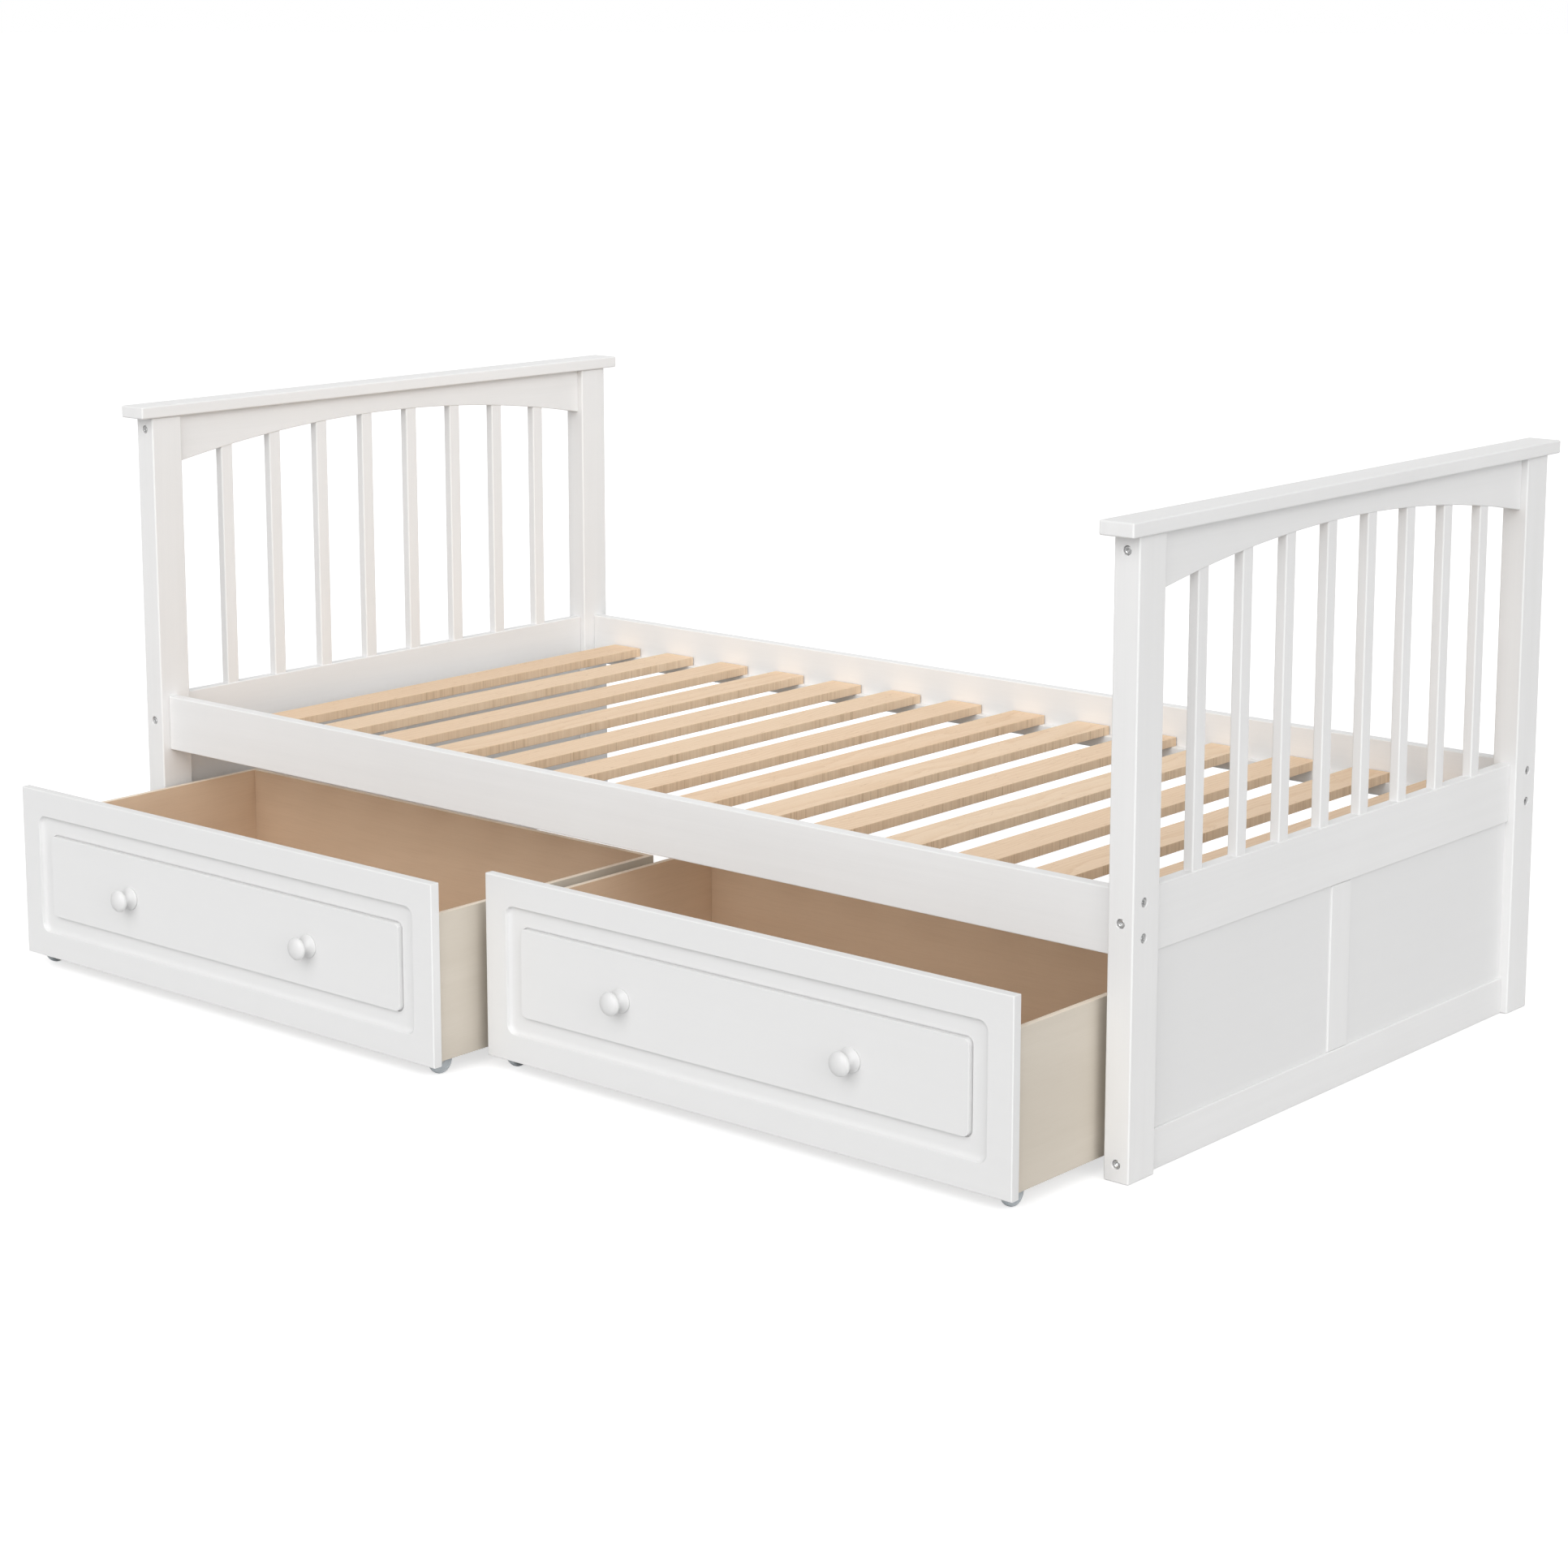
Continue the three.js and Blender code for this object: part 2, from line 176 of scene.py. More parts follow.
PLY_INSIDE = {"light": (0.69, 0.525, 0.38, 1), "dark": (0.65, 0.49, 0.35, 1),
              "vein": (0.56, 0.41, 0.28, 1), "veined": 0.30}
PLY_OUTSIDE = {"light": (0.67, 0.61, 0.525, 1), "dark": (0.635, 0.575, 0.49, 1),
               "vein": (0.57, 0.505, 0.42, 1), "veined": 0.13}
PLY_EDGE = {
    "layers": [(0.0, (0.88, 0.79, 0.68, 1)), (0.45, (0.86, 0.77, 0.655, 1)), (0.55, (0.80, 0.68, 0.545, 1)),
               (0.9, (0.815, 0.70, 0.565, 1)), (1.0, (0.87, 0.78, 0.665, 1))],
    "layer": 1.8 * MM, "wobble": {"scale": (20.0, 20.0), "detail": 2.0}, "wobble_deep": 0.5 * MM,
    "grit": {"scale": (160.0, 600.0), "detail": 4.0},
    "grit_tint": {"low": 0.45, "high": 0.75, "amount": 0.35, "tint": (0.76, 0.63, 0.48, 1)},
    "relief": {"strength": 0.3, "distance": 0.12 * MM},
}
PLASTIC = {
    "dark": (0.44, 0.475, 0.505, 1), "light": (0.49, 0.525, 0.55, 1),
    "cloud": {"scale": 120.0}, "cloud_range": (0.35, 0.65),
    "spark": {"scale": 2600.0, "detail": 2.0},
    "scuff": {"scale": (900.0, 160.0), "detail": 4.0, "rough": 0.7, "twist": 0.6},
    "scuff_tint": {"low": 0.60, "high": 0.74, "amount": 0.4, "tint": (0.56, 0.585, 0.60, 1)},
    "gloss_range": (0.35, 0.75, 0.36, 0.56), "relief": {"strength": 0.2, "distance": 0.05 * MM},
}
STEEL = {
    "dark": (0.62, 0.625, 0.63, 1), "light": (0.77, 0.77, 0.765, 1),
    "spangle": {"scale": 700.0}, "spangle_range": (0.35, 0.65), "hair": {"scale": (400.0, 4200.0)},
    "gloss_range": (0.7, 1.3, 0.20, 0.38), "relief": {"strength": 0.15, "distance": 0.03 * MM},
}

# ---- studio ----

STUDIO = {"room": 0.43, "white": 1.0, "floor": 0.62, "glow": 0.64, "reach": 400.0, "below": 0.5 * MM}
SOFTBOXES = {
    "front_softbox": {"source": (0.25, -1.0, 0.65), "spread": 55, "strength": 1.66},
    "side_softbox": {"source": (1.0, -0.30, 0.40), "spread": 50, "strength": 1.14},
    "back_softbox": {"source": (-0.8, 1.0, 0.50), "spread": 60, "strength": 0.50},
}
BED_LIGHT = {"energy": 3.0, "size": 0.5, "place": (0.5, 0.25, 1.5)}
CAMERA = {"place": (3.3641, -3.8279, 1.4971), "down": 0.1796, "turn": 0.7100, "lens": 76.36, "sensor": 36.0,
          "shift": -0.1}

rng = random.Random(SEED)


# ---- small node helpers ----

class Shader:
    """One material under construction: its tree, its Principled shader and a few short ways to add nodes."""

    def __init__(self, name, **constants):
        self.material = bpy.data.materials.new(name)
        self.material.use_nodes = True
        self.tree = self.material.node_tree
        self.principled = self.tree.nodes["Principled BSDF"]
        for socket, value in constants.items():
            self.principled.inputs[socket.replace("_", " ")].default_value = value

    def put(self, target, value):
        if isinstance(value, bpy.types.NodeSocket):
            self.tree.links.new(value, target)
        else:
            target.default_value = value

    def node(self, kind, inputs=(), **settings):
        made = self.tree.nodes.new(kind)
        for key, value in settings.items():
            setattr(made, key, value)
        for key, value in inputs:
            self.put(made.inputs[key], value)
        return made

    def attribute(self, name):
        return self.node("ShaderNodeAttribute", attribute_name=name)

    def math(self, operation, a, b=0.0):
        return self.node("ShaderNodeMath", [(0, a), (1, b)], operation=operation).outputs[0]

    def vector(self, operation, a, b=(0, 0, 0)):
        return self.node("ShaderNodeVectorMath", [(0, a), (1, b)], operation=operation).outputs[0]

    def length(self, a):
        return self.node("ShaderNodeVectorMath", [(0, a)], operation="LENGTH").outputs["Value"]

    def split(self, a):
        return self.node("ShaderNodeSeparateXYZ", [(0, a)]).outputs

    def join(self, x, y, z):
        return self.node("ShaderNodeCombineXYZ", [(0, x), (1, y), (2, z)]).outputs[0]

    def noise(self, where, scale, detail=3.0, rough=0.55, twist=0.0):
        """Noise of one scale, or of a pair of them: along the grain and across it."""
        if isinstance(scale, tuple):
            along, across = scale
            where = self.vector("MULTIPLY", where, (along, across, across))
            scale = 1.0
        inputs = [("Vector", where), ("Scale", scale), ("Detail", detail), ("Roughness", rough),
                  ("Distortion", twist)]
        return self.node("ShaderNodeTexNoise", inputs).outputs[0]

    def ranged(self, value, low, high, to_low=0.0, to_high=1.0, smooth=False):
        inputs = [("Value", value), ("From Min", low), ("From Max", high), ("To Min", to_low),
                  ("To Max", to_high)]
        kind = "SMOOTHSTEP" if smooth else "LINEAR"
        return self.node("ShaderNodeMapRange", inputs, interpolation_type=kind).outputs[0]

    def blend(self, factor, a, b, kind="MIX"):
        made = self.node("ShaderNodeMix", data_type="RGBA", blend_type=kind)
        self.put(made.inputs[0], factor)
        self.put(made.inputs[6], a)
        self.put(made.inputs[7], b)
        return made.outputs[2]

    def tinted(self, colour, pattern, low, high, amount, tint):
        """The colour turned to tint, by nothing where the pattern is low and by amount where it is high."""
        return self.blend(self.ranged(pattern, low, high, 0.0, amount), colour, tint)

    def ramp(self, factor, stops):
        made = self.node("ShaderNodeValToRGB", [(0, factor)])
        band = made.color_ramp
        for place, colour in stops[1:-1]:
            band.elements.new(place).color = colour
        band.elements[0].position, band.elements[0].color = stops[0]
        band.elements[-1].position, band.elements[-1].color = stops[-1]
        return made.outputs[0]

    def bump(self, height, strength, distance, below=None):
        inputs = [("Height", height), ("Strength", strength), ("Distance", distance)]
        made = self.node("ShaderNodeBump", inputs)
        if below is not None:
            self.put(made.inputs["Normal"], below)
        return made.outputs[0]

    def drive(self, **sockets):
        for socket, value in sockets.items():
            self.put(self.principled.inputs[socket.replace("_", " ")], value)
        return self.material


def board_tone(shader):
    """A number from 0 to 1 that differs from board to board."""
    return shader.attribute("tone").outputs["Fac"]


def board_place(shader):
    """The board's own coordinates, x along its grain, moved so that no two boards share a pattern."""
    away = shader.vector("SCALE", BOARD_SHIFT)
    shader.put(away.node.inputs["Scale"], board_tone(shader))
    return shader.vector("ADD", shader.attribute("grain").outputs["Vector"], away)


def mixture(shader, *parts):
    """The sum of the (pattern, share) parts."""
    total = None
    for pattern, share in parts:
        part = shader.math("MULTIPLY", pattern, share)
        total = part if total is None else shader.math("ADD", total, part)
    return total


def edge_nearness(shader, reach):
    """1 on a board's arrises and 0 beyond reach, from the middle one of the three distances to its sides."""
    inside = shader.vector("ABSOLUTE", shader.attribute("grain").outputs["Vector"])
    gaps = shader.split(shader.vector("SUBTRACT", shader.attribute("half").outputs["Vector"], inside))
    low = shader.math("MINIMUM", gaps[0], shader.math("MINIMUM", gaps[1], gaps[2]))
    high = shader.math("MAXIMUM", gaps[0], shader.math("MAXIMUM", gaps[1], gaps[2]))
    total = shader.math("ADD", gaps[0], shader.math("ADD", gaps[1], gaps[2]))
    middle = shader.math("SUBTRACT", shader.math("SUBTRACT", total, low), high)
    return shader.ranged(middle, 0.0, reach, 1.0, 0.0, smooth=True)


# ---- materials ----

def paint_material(name, light, shade, grain):
    """White satin paint: fine orange peel, arrises lightened as a painted highlight, and as much of the
    wood's grain as grain says.
    """
    s = Shader(name, IOR=1.46, Coat_Weight=0.12, Coat_Roughness=0.28)
    where = board_place(s)
    cloud = s.noise(where, **PAINT["cloud"])
    fibre = s.noise(where, **PAINT["fibre"])
    streak = s.noise(where, **PAINT["streak"])
    peel = s.noise(where, **PAINT["peel"])
    body = mixture(s, (cloud, PAINT["cloud_share"]), (streak, PAINT["streak_share"]),
                   (fibre, PAINT["fibre_share"]))
    colour = s.blend(s.ranged(body, *PAINT["body_range"]), shade, light)
    # Painted highlight: the arrises are lightened in patches that follow the cloud noise.
    arris_highlight = s.math("MULTIPLY", edge_nearness(s, PAINT["arris"]), s.ranged(cloud, *PAINT["arris_highlight_range"]))
    colour = s.blend(arris_highlight, colour, PAINT_HIGHLIGHT)
    gloss = s.ranged(s.math("ADD", fibre, cloud), *PAINT["gloss_range"])
    relief = s.bump(fibre, PAINT["fibre_strength"] * grain, PAINT["fibre_distance"])
    relief = s.bump(peel, below=relief, **PAINT["peel_relief"])
    return s.drive(Base_Color=colour, Roughness=gloss, Normal=relief)


def growth_rings(s, where):
    """How far each point is through its growth ring, from 0 to 1: the rings lie round a pith that wanders."""
    parts = s.split(where)
    along = s.math("MULTIPLY", parts[X], RINGS["wander_along"])
    wander = s.noise(s.join(along, parts[Y], 0.0), **RINGS["wander"])
    flame = s.noise(where, **RINGS["flame"])
    shifted = s.math("ADD", s.math("FRACT", parts[Y]), s.math("MULTIPLY", wander, RINGS["sway"]))
    depth = s.math("ADD", s.math("FRACT", parts[Z]), RINGS["pith"])
    distance = s.length(s.join(0.0, shifted, depth))
    distance = s.math("ADD", distance, s.math("MULTIPLY", flame, RINGS["pitch"] * RINGS["flame_deep"]))
    return s.math("FRACT", s.math("DIVIDE", distance, RINGS["pitch"]))


def slat_face(s, where, rings, fibre):
    """The colour of a slat's planed faces: rings under a pale wash, fibre, mottle and thin brown veins."""
    face = s.blend(SLAT["wash"], s.ramp(rings, SLAT["face"]), SLAT["wash_colour"])
    face = s.tinted(face, fibre, **SLAT["fibre_tint"])
    face = s.tinted(face, s.noise(where, **SLAT["mottle"]), **SLAT["mottle_tint"])
    off_vein = s.math("ABSOLUTE", s.math("SUBTRACT", s.noise(where, **SLAT["vein"]), SLAT["vein_at"]))
    return s.blend(s.ranged(off_vein, *SLAT["vein_range"]), face, SLAT["vein_colour"])


def slat_material():
    """Planed pine: pale faces with cathedral grain, browner sawn edges with fine cross marks, dark ends."""
    s = Shader("slat_wood", IOR=1.45)
    where = board_place(s)
    rings = growth_rings(s, where)
    fibre = s.noise(where, **SLAT["fibre"])
    stripe = s.noise(where, **SLAT["stripe"])
    broad = s.noise(where, **SLAT["broad"])
    sawn = s.ramp(mixture(s, (stripe, SLAT["stripe_share"]), (broad, SLAT["broad_share"])), SLAT["sawn"])
    normal = s.split(s.vector("ABSOLUTE", s.node("ShaderNodeTexCoord").outputs["Normal"]))
    colour = s.blend(s.ranged(normal[X], *SLAT["side_range"]), slat_face(s, where, rings, fibre), sawn)
    colour = s.blend(s.ranged(normal[Y], *SLAT["side_range"]), colour, s.ramp(rings, SLAT["end"]))
    tone = s.ranged(board_tone(s), *SLAT["tone_range"])
    colour = s.blend(tone, colour, SLAT["tone_colour"], "MULTIPLY")
    relief = s.bump(fibre, **SLAT["fibre_relief"])
    relief = s.bump(stripe, below=relief, **SLAT["stripe_relief"])
    return s.drive(Base_Color=colour, Roughness=s.ranged(fibre, *SLAT["gloss_range"]), Normal=relief)


def ply_material(name, light, dark, vein, veined):
    """A birch plywood face: long pale figure, short pores, sealed with a thin matt film."""
    s = Shader(name, IOR=1.45)
    where = board_place(s)
    figure = s.noise(where, **PLY["figure"])
    fibre = s.noise(where, **PLY["fibre"])
    pore = s.noise(where, **PLY["pore"])
    colour = s.blend(s.ranged(figure, *PLY["figure_range"]), dark, light)
    colour = s.tinted(colour, fibre, *PLY["fibre_range"], veined, vein)
    colour = s.tinted(colour, pore, *PLY["pore_range"], veined, vein)
    gloss = s.ranged(fibre, *PLY["gloss_range"])
    return s.drive(Base_Color=colour, Roughness=gloss, Normal=s.bump(fibre, **PLY["relief"]))


def ply_edge_material():
    """The sanded edge of the plywood: cream, with its thin layers showing through the seal."""
    s = Shader("ply_edge", Roughness=0.58, IOR=1.45)
    where = board_place(s)
    through = s.split(s.attribute("grain").outputs["Vector"])[Z]
    wobble = s.math("MULTIPLY", s.noise(where, **PLY_EDGE["wobble"]), PLY_EDGE["wobble_deep"])
    layer = s.math("FRACT", s.math("DIVIDE", s.math("ADD", through, wobble), PLY_EDGE["layer"]))
    grit = s.noise(where, **PLY_EDGE["grit"])
    colour = s.tinted(s.ramp(layer, PLY_EDGE["layers"]), grit, **PLY_EDGE["grit_tint"])
    return s.drive(Base_Color=colour, Normal=s.bump(grit, **PLY_EDGE["relief"]))


def plastic_material():
    """Moulded grey nylon: even, a little cloudy, with the fine spark texture of its mould."""
    s = Shader("castor_grey", IOR=1.5)
    where = board_place(s)
    cloud = s.noise(where, **PLASTIC["cloud"])
    spark = s.noise(where, **PLASTIC["spark"])
    scuff = s.noise(where, **PLASTIC["scuff"])
    colour = s.blend(s.ranged(cloud, *PLASTIC["cloud_range"]), PLASTIC["dark"], PLASTIC["light"])
    colour = s.tinted(colour, scuff, **PLASTIC["scuff_tint"])
    gloss = s.ranged(scuff, *PLASTIC["gloss_range"])
    return s.drive(Base_Color=colour, Roughness=gloss, Normal=s.bump(spark, **PLASTIC["relief"]))


def steel_material():
    """Zinc plated steel: bright, faintly spangled, with hairline marks."""
    s = Shader("castor_steel", Metallic=1.0)
    where = board_place(s)
    spangle = s.noise(where, **STEEL["spangle"])
    hair = s.noise(where, **STEEL["hair"])
    colour = s.blend(s.ranged(spangle, *STEEL["spangle_range"]), STEEL["dark"], STEEL["light"])
    gloss = s.ranged(s.math("ADD", spangle, hair), *STEEL["gloss_range"])
    return s.drive(Base_Color=colour, Roughness=gloss, Normal=s.bump(hair, **STEEL["relief"]))


paint = paint_material("white_paint", PAINT_LIGHT, PAINT_SHADE, BOARD_GRAIN)
lacquer = paint_material("white_lacquer", DIMMED_LACQUER_LIGHT, DIMMED_LACQUER_SHADE, SPRAYED_GRAIN)
# The knobs get a darker copy of the lacquer: painted shade.
dimmed_knob_lacquer = paint_material("dimmed_knob_lacquer", DIMMED_KNOB_LIGHT, DIMMED_KNOB_SHADE, SPRAYED_GRAIN)
slat_wood = slat_material()
ply_inside = ply_material("ply_inside", **PLY_INSIDE)
ply_outside = ply_material("ply_outside", **PLY_OUTSIDE)
ply_edge = ply_edge_material()
plastic = plastic_material()
steel = steel_material()


# ---- mesh helpers ----

def carry(bm, matrix):
    bmesh.ops.transform(bm, matrix=matrix, verts=bm.verts)
    return bm


def merged(parts):
    """Several meshes in one, each still a closed shell of its own."""
    together = bmesh.new()
    for part in parts:
        mesh = bpy.data.meshes.new("part")
        part.to_mesh(mesh)
        part.free()
        together.from_mesh(mesh)
        bpy.data.meshes.remove(mesh)
    return together


def rounded(bm, edges, radius):
    bmesh.ops.bevel(bm, geom=edges, offset=radius, segments=EASE_STEPS, profile=0.5, affect="EDGES")
    return bm


def eased_board(low, high, radius):
    """A board between two corners, its edges rounded to radius."""
    bm = bmesh.new()
    bmesh.ops.create_cube(bm, size=1.0)
    carry(bm, Matrix.Translation((low + high) / 2) @ Matrix.Diagonal((*(high - low), 1)))
    return rounded(bm, bm.edges[:], radius)


def extruded(outline, low_x, high_x, radius):
    """An outline in (Y, Z) made solid from low_x to high_x, its sharp edges rounded to radius."""
    bm = bmesh.new()
    near = [bm.verts.new((low_x, y, z)) for y, z in outline]
    far = [bm.verts.new((high_x, y, z)) for y, z in outline]
    bm.faces.new(near)
    bm.faces.new(list(reversed(far)))
    for i in range(len(outline)):
        j = (i + 1) % len(outline)
        bm.faces.new((near[i], far[i], far[j], near[j]))
    bmesh.ops.recalc_face_normals(bm, faces=bm.faces)
    sharp = [edge for edge in bm.edges if edge.calc_face_angle() > math.radians(SHARP["outline"])]
    return rounded(bm, sharp, radius)


def arc(centre, radii, start, stop, steps):
    """Points of an ellipse's arc from start to stop, in degrees."""
    points = []
    for i in range(steps + 1):
        angle = math.radians(start + (stop - start) * i / steps)
        points.append((centre[0] + radii[0] * math.cos(angle), centre[1] + radii[1] * math.sin(angle)))
    return points


def curve(start, control, stop, steps):
    """Points of a quadratic curve, its first point left out."""
    points = []
    for i in range(1, steps + 1):
        t = i / steps
        points.append(tuple((1 - t) ** 2 * a + 2 * t * (1 - t) * b + t * t * c
                            for a, b, c in zip(start, control, stop)))
    return points


def lathe(profile, segments, hexagon_from=None):
    """(radius, height) points turned round Z. From the point hexagon_from on, the rings are hexagons."""
    bm = bmesh.new()
    rings = []
    side = math.tau / 6
    for number, (radius, height) in enumerate(profile):
        if radius == 0:
            rings.append([bm.verts.new((0, 0, height))])
            continue
        ring = []
        for i in range(segments):
            angle = math.tau * i / segments
            reach = radius
            if hexagon_from is not None and number >= hexagon_from:
                reach = radius * math.cos(side / 2) / math.cos(angle % side - side / 2)
            ring.append(bm.verts.new((reach * math.cos(angle), reach * math.sin(angle), height)))
        rings.append(ring)
    for lower, upper in zip(rings, rings[1:]):
        for i in range(segments):
            j = (i + 1) % segments
            corners = []
            for ring, k in ((lower, i), (lower, j), (upper, j), (upper, i)):
                vertex = ring[k % len(ring)]
                if vertex not in corners:
                    corners.append(vertex)
            bm.faces.new(corners)
    bmesh.ops.recalc_face_normals(bm, faces=bm.faces)
    return bm


def facing(place, outward):
    """The matrix that puts the origin at place and turns +Z to outward."""
    turn = Vector((0, 0, 1)).rotation_difference(Vector(outward)).to_matrix().to_4x4()
    return Matrix.Translation(place) @ turn


def boolean(bm, tool, operation):
    """bm with the tool cut out of it or joined to it. Both are used up."""
    objects = []
    for name, source in (("cut_this", bm), ("with_this", tool)):
        mesh = bpy.data.meshes.new(name)
        source.to_mesh(mesh)
        source.free()
        made = bpy.data.objects.new(name, mesh)
        bpy.context.scene.collection.objects.link(made)
        objects.append(made)
    modifier = objects[0].modifiers.new("boolean", "BOOLEAN")
    modifier.solver = "EXACT"
    modifier.operation = operation
    modifier.object = objects[1]
    graph = bpy.context.evaluated_depsgraph_get()
    result = bmesh.new()
    result.from_mesh(objects[0].evaluated_get(graph).to_mesh())
    for made in objects:
        mesh = made.data
        bpy.data.objects.remove(made)
        bpy.data.meshes.remove(mesh)
    return result


def write_board_coordinates(mesh, low, high, grain_axis):
    """Gives each vertex its place in the board, x along the grain, and the board's half size and tone."""
    size = high - low
    centre = (low + high) / 2
    others = sorted((axis for axis in range(3) if axis != grain_axis), key=lambda axis: -size[axis])
    order = (grain_axis, *others)
    half = [size[axis] / 2 for axis in order]
    tone = rng.random()
    count = len(mesh.vertices)
    places = [vertex.co[axis] - centre[axis] for vertex in mesh.vertices for axis in order]
    for name, kind in (("grain", "FLOAT_VECTOR"), ("half", "FLOAT_VECTOR"), ("tone", "FLOAT")):
        mesh.attributes.new(name, kind, "POINT")
    mesh.attributes["grain"].data.foreach_set("vector", places)
    mesh.attributes["half"].data.foreach_set("vector", half * count)
    mesh.attributes["tone"].data.foreach_set("value", [tone] * count)


def add_piece(name, bm, body, materials, grain_axis, nodes=(), pick=None, sharp=SHARP["board"]):
    """Links the mesh as a piece on a body. pick chooses a face's material from its normal."""
    mesh = bpy.data.meshes.new(name)
    bm.to_mesh(mesh)
    bm.free()
    for material in materials:
        mesh.materials.append(material)
    corners = [vertex.co for vertex in mesh.vertices]
    low = Vector(map(min, zip(*corners)))
    high = Vector(map(max, zip(*corners)))
    write_board_coordinates(mesh, low, high, grain_axis)
    for polygon in mesh.polygons:
        polygon.use_smooth = True
        if pick:
            polygon.material_index = pick(polygon.normal)
    mesh.set_sharp_from_angle(angle=math.radians(sharp))
    piece = bpy.data.objects.new(name, mesh)
    bpy.context.scene.collection.objects.link(piece)
    weighted = piece.modifiers.new("even_shading", "WEIGHTED_NORMAL")
    weighted.keep_sharp = True
    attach(piece, body)
    if nodes:
        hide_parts(*nodes)


def add_bed_board(name, bm, grain_axis, node, material=paint):
    """A painted board of the bed itself, in the place of a CAD node or of part of one."""
    add_piece(name, bm, "bed_frame", [material], grain_axis, [node])


def add_metal(name, bm, body, grain_axis, nodes=()):
    add_piece(name, bm, body, [steel], grain_axis, nodes)


def between(low, high):
    return Vector(low), Vector(high)


# ---- fasteners ----

def bolt_head():
    """A recessed furniture bolt, its top at z = 0: a flat cap with a rounded rim and a hexagon socket."""
    rim = BOLT["head"]
    dome = BOLT["dome"]
    socket = BOLT["socket"]
    foot = BOLT["sunk"] - BOLT["deep"]
    outer, inner = BOLT["funnel"]
    profile = [(0, foot), (rim, foot), (rim, -dome)]
    profile += curve((rim, -dome), (rim * BOLT["round"], -BOLT["round_deep"] * dome),
                     (rim * BOLT["flat"], 0), steps=5)
    profile += [(socket * outer, 0), (socket * inner, -BOLT["funnel_deep"])]
    hexagon_from = len(profile)
    profile += [(socket, -BOLT["hexagon_deep"]), (socket, -BOLT["socket_deep"]),
                (0, -BOLT["socket_deep"] - BOLT["point"])]
    return lathe(profile, FACETS["bolt"], hexagon_from)


def counterbore():
    """The hole that a bolt head sits in, its mouth a little broken and standing out of the face."""
    bore, mouth, clear = BOLT["bore"], BOLT["mouth"], BOLT["clear"]
    profile = [(0, -BOLT["deep"]), (bore, -BOLT["deep"]), (bore, -BOLT["mouth_deep"]),
               (mouth, 0), (mouth, clear), (0, clear)]
    return lathe(profile, FACETS["bolt"])


def screw_head():
    """A pan head screw with a hexagon drive, its underside at z = 0."""
    head = SCREW["head"]
    tall = SCREW["tall"]
    floor = tall - SCREW["slot_deep"]
    wall = SCREW["wall"] * tall
    profile = [(0, 0), (head, 0), (head, wall)]
    profile += curve((head, wall), (head * SCREW["round"], tall), (head * SCREW["flat"], tall), steps=5)
    hexagon_from = len(profile)
    profile += [(SCREW["slot"], tall), (SCREW["slot"], floor), (0, floor - SCREW["point"])]
    return lathe(profile, FACETS["screw"], hexagon_from)


# ---- headboard and footboard ----

def bolt_places(low, high, side_x, side_y):
    """Where the bolts go in through a post: three through its outer side, two through its outer face."""
    middle_x = (low.x + high.x) / 2
    outer_x = high.x if side_x > 0 else low.x
    outer_y = high.y if side_y > 0 else low.y
    places = [((middle_x, outer_y, z), (0, side_y, 0)) for z in SIDE_BOLTS]
    places += [((outer_x, outer_y - side_y * END_BOLT_INSET, z), (side_x, 0, 0)) for z in END_BOLTS]
    return places


def add_post(end, side_x, place, side_y):
    node = f"{end}_{place}_post"
    low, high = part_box(node)
    places = bolt_places(low, high, side_x, side_y)
    holes = merged([carry(counterbore(), facing(at, out)) for at, out in places])
    board = boolean(eased_board(low, high, EASE["post"]), holes, "DIFFERENCE")
    add_bed_board(f"{node}_board", board, Z, node)
    heads = []
    for at, out in places:
        sunk = Vector(at) - Vector(out) * BOLT["sunk"]
        turn = Matrix.Rotation(rng.uniform(0, math.tau), 4, "Z")
        heads.append(carry(bolt_head(), facing(sunk, out) @ turn))
    add_metal(f"{node}_bolts", merged(heads), "bed_frame", Z)


def arch_outline(low_y, high_y, top_z):
    """The top rail's outline in (Y, Z), an arc underneath, and a function for that arc's height."""
    middle = (low_y + high_y) / 2
    half = (high_y - low_y) / 2
    rise = ARCH["rise"]
    radius = (half * half + rise * rise) / (2 * rise)
    centre_z = ARCH["end_low"] + rise - radius
    spread = math.degrees(math.asin(half / radius))
    under = arc((middle, centre_z), (radius, radius), 90 + spread, 90 - spread, ARC_STEPS)
    outline = under + [(high_y, top_z), (low_y, top_z)]
    return outline, lambda y: centre_z + math.sqrt(radius * radius - (y - middle) ** 2)


def add_arch_and_spindles(end):
    node = f"{end}_arch_and_spindles"
    low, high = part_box(node)
    outline, underside = arch_outline(low.y, high.y, high.z)
    add_bed_board(f"{end}_arch_rail", extruded(outline, low.x, high.x, EASE["rail"]), Y, node)
    middle_x = (low.x + high.x) / 2
    half_thick = SPINDLE["thick"] / 2
    half_wide = SPINDLE["wide"] / 2
    pitch = (high.y - low.y) / (SPINDLE["count"] + 1)
    for i in range(1, SPINDLE["count"] + 1):
        y = low.y + pitch * i
        corners = between((middle_x - half_thick, y - half_wide, low.z - TENON),
                          (middle_x + half_thick, y + half_wide, underside(y) + TENON))
        add_bed_board(f"{end}_spindle_{i}", eased_board(*corners, EASE["spindle"]), Z, node)


